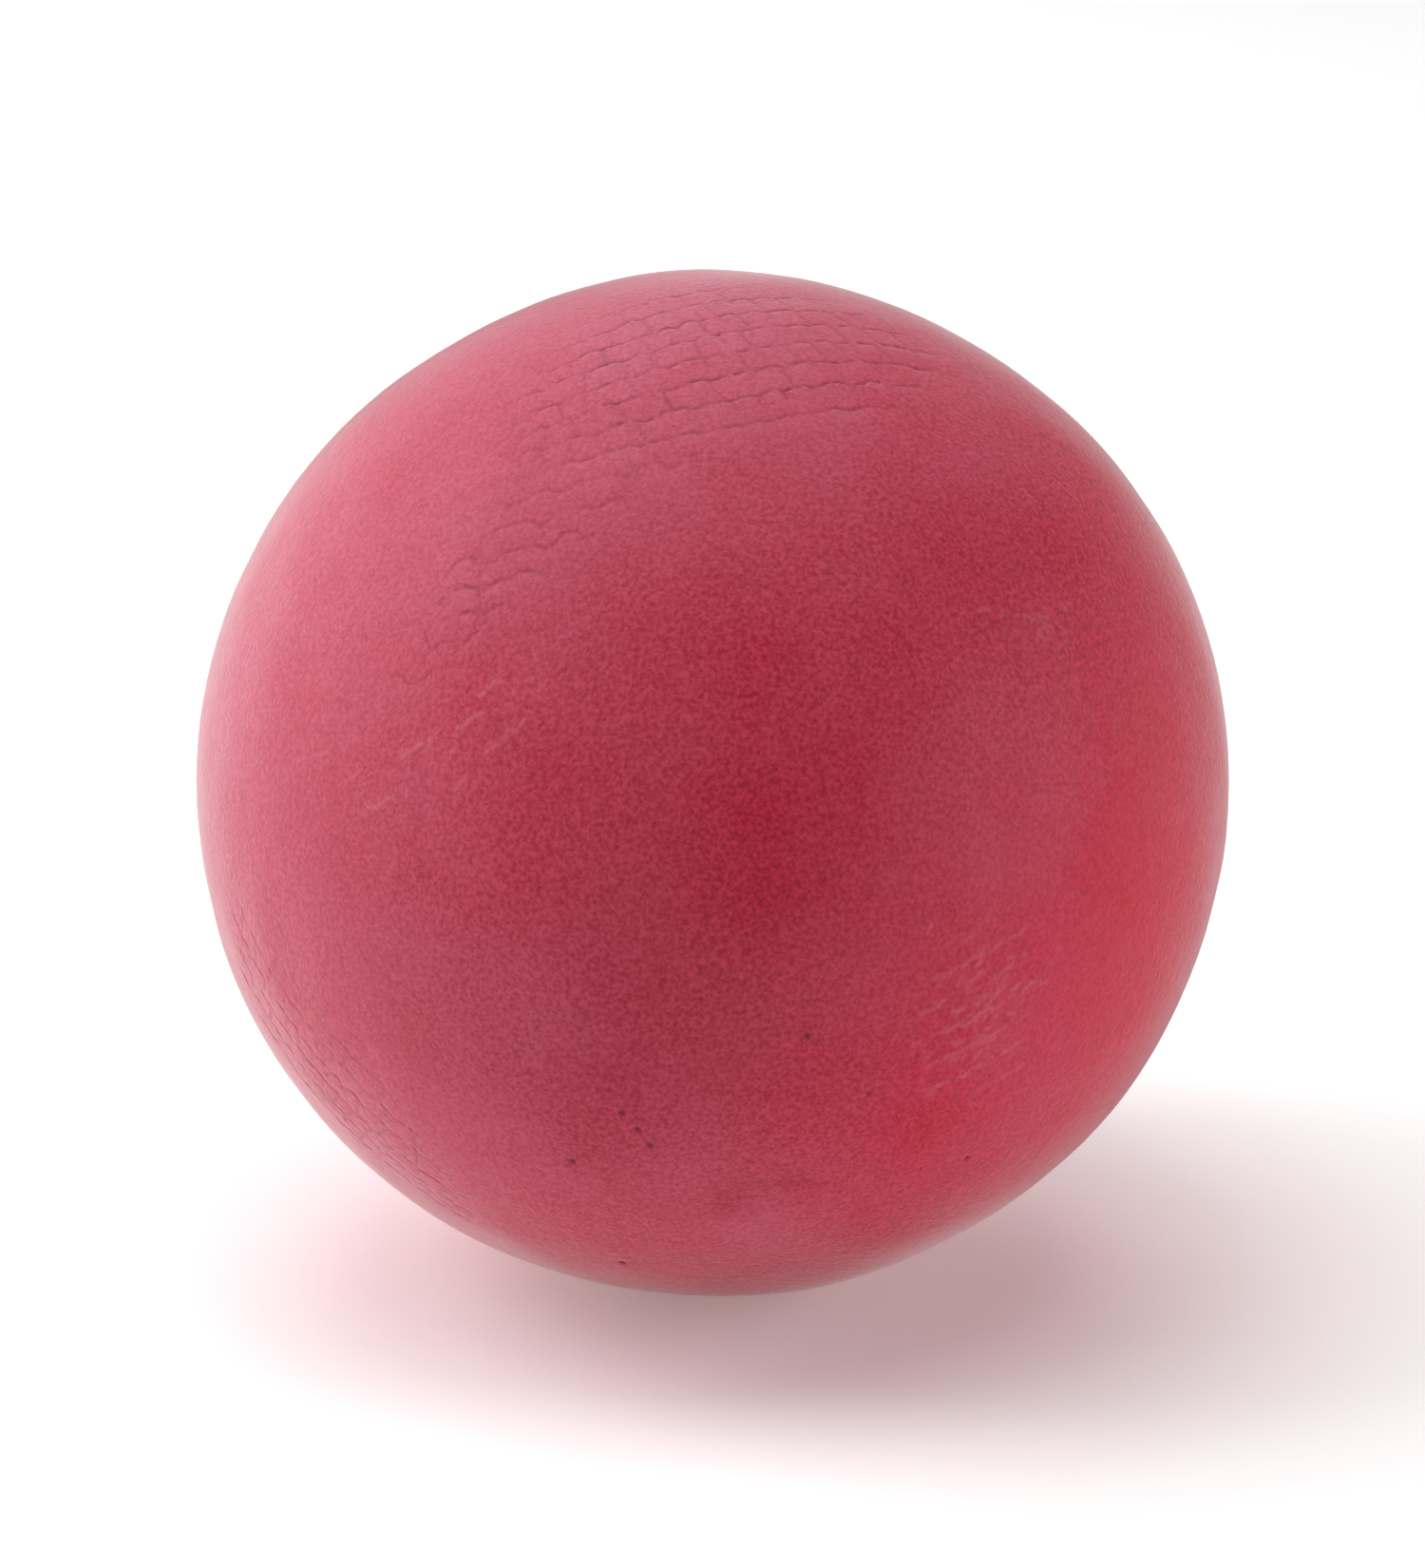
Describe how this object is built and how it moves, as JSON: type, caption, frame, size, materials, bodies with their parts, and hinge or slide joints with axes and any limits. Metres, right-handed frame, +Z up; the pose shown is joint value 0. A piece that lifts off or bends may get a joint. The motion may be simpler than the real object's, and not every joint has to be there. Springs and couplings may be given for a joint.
{
  "type": "foam hand exercise ball",
  "caption": "Soft foam ball with a thin elastomer skin, squeezed in the palm to exercise the grip; stands on a small flat contact patch.",
  "frame": {"origin": "middle of the flat contact patch under the ball", "axes": "+Z up, through the ball's centre; the sealed pour hole is low on the -Y side"},
  "size_m": [0.0634, 0.0634, 0.0625],
  "materials": {
    "skin": "matte",
    "foam": "matte",
    "seal": "matte"
  },
  "bodies": {
    "root": {"skin": "skin", "foam_core": "foam", "pour_hole_seal": "seal"}
  },
  "joints": []
}
